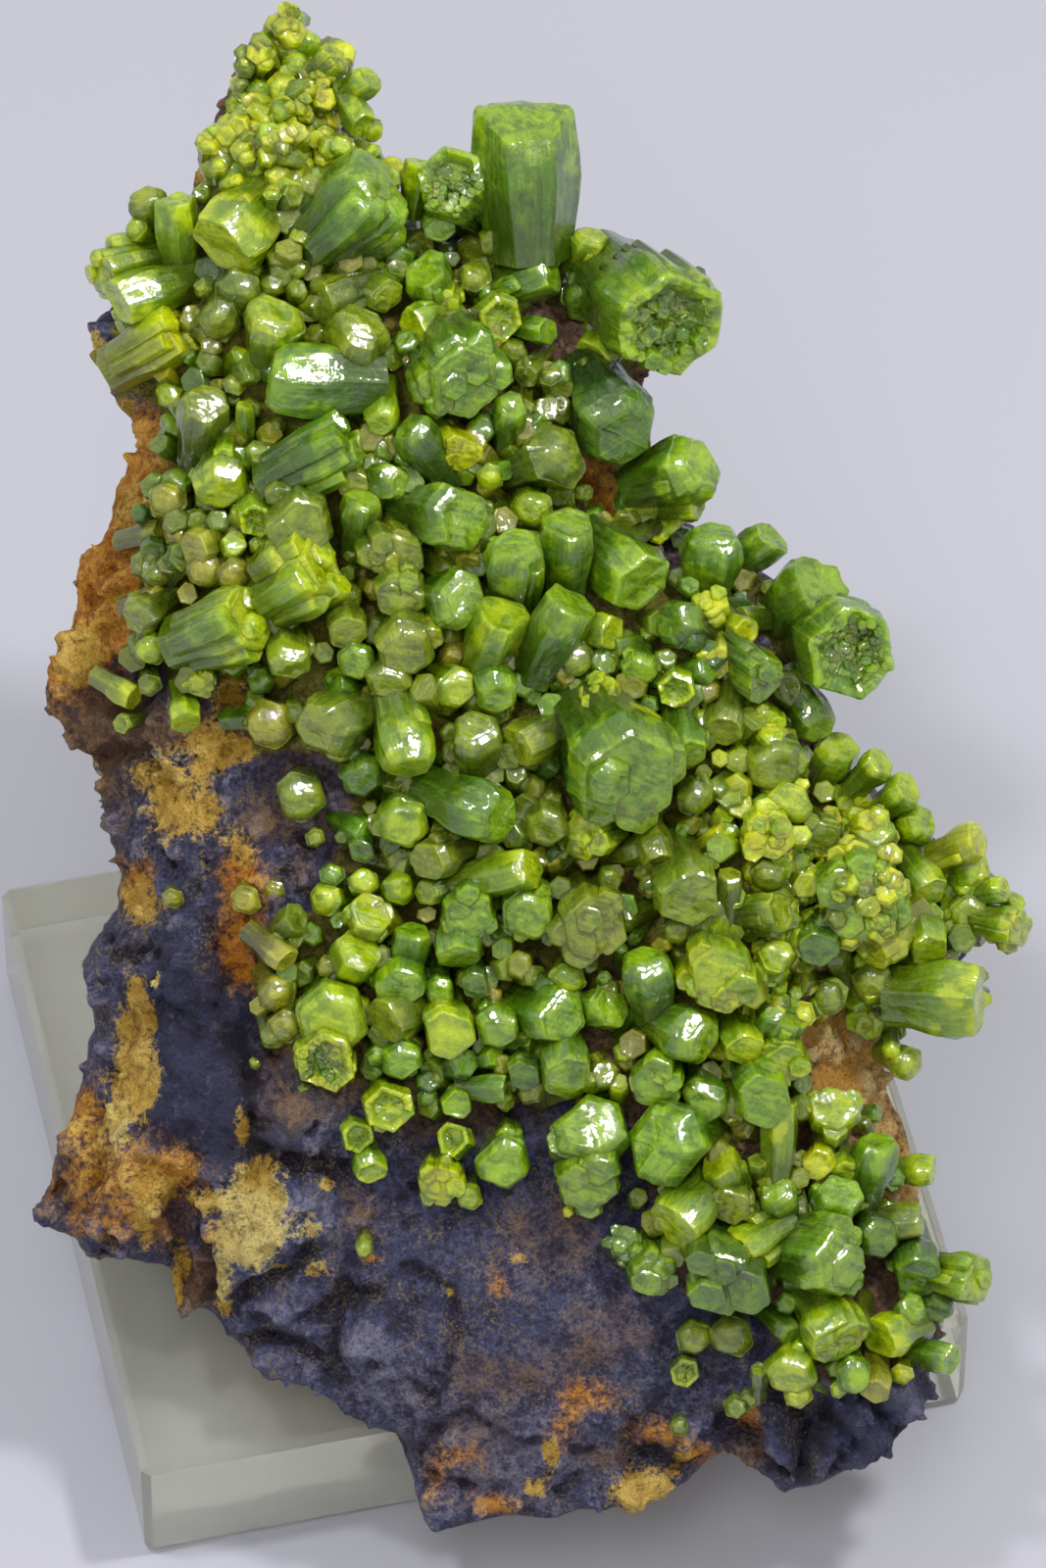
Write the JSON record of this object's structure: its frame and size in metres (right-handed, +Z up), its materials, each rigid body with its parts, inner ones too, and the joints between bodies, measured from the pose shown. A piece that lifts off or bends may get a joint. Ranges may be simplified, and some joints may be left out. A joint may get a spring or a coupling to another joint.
{
  "type": "pyromorphite specimen",
  "caption": "Slab of iron-oxide rock crusted with barrel-shaped green pyromorphite crystals, leaning back on a clear rectangular display block",
  "frame": {"origin": "centre of the display block's underside", "axes": "+Z up; +X along the block's long side, to the right of the crystal face; -Y towards the front, where the crystal face leans down"},
  "size_m": [0.1048, 0.1327, 0.1115],
  "materials": {
    "iron_oxide_rock": "matte",
    "pyromorphite": "glossy",
    "clear_acrylic": "polished, see-through"
  },
  "bodies": {
    "root": {"acrylic_block": "clear_acrylic", "matrix_rock": "iron_oxide_rock", "crystal_crust": "pyromorphite", "single_barrel": "pyromorphite", "left_pair": "pyromorphite", "lower_group": "pyromorphite", "double_cluster": "pyromorphite", "beaded_pair": "pyromorphite", "honey_group": "pyromorphite"}
  },
  "joints": []
}
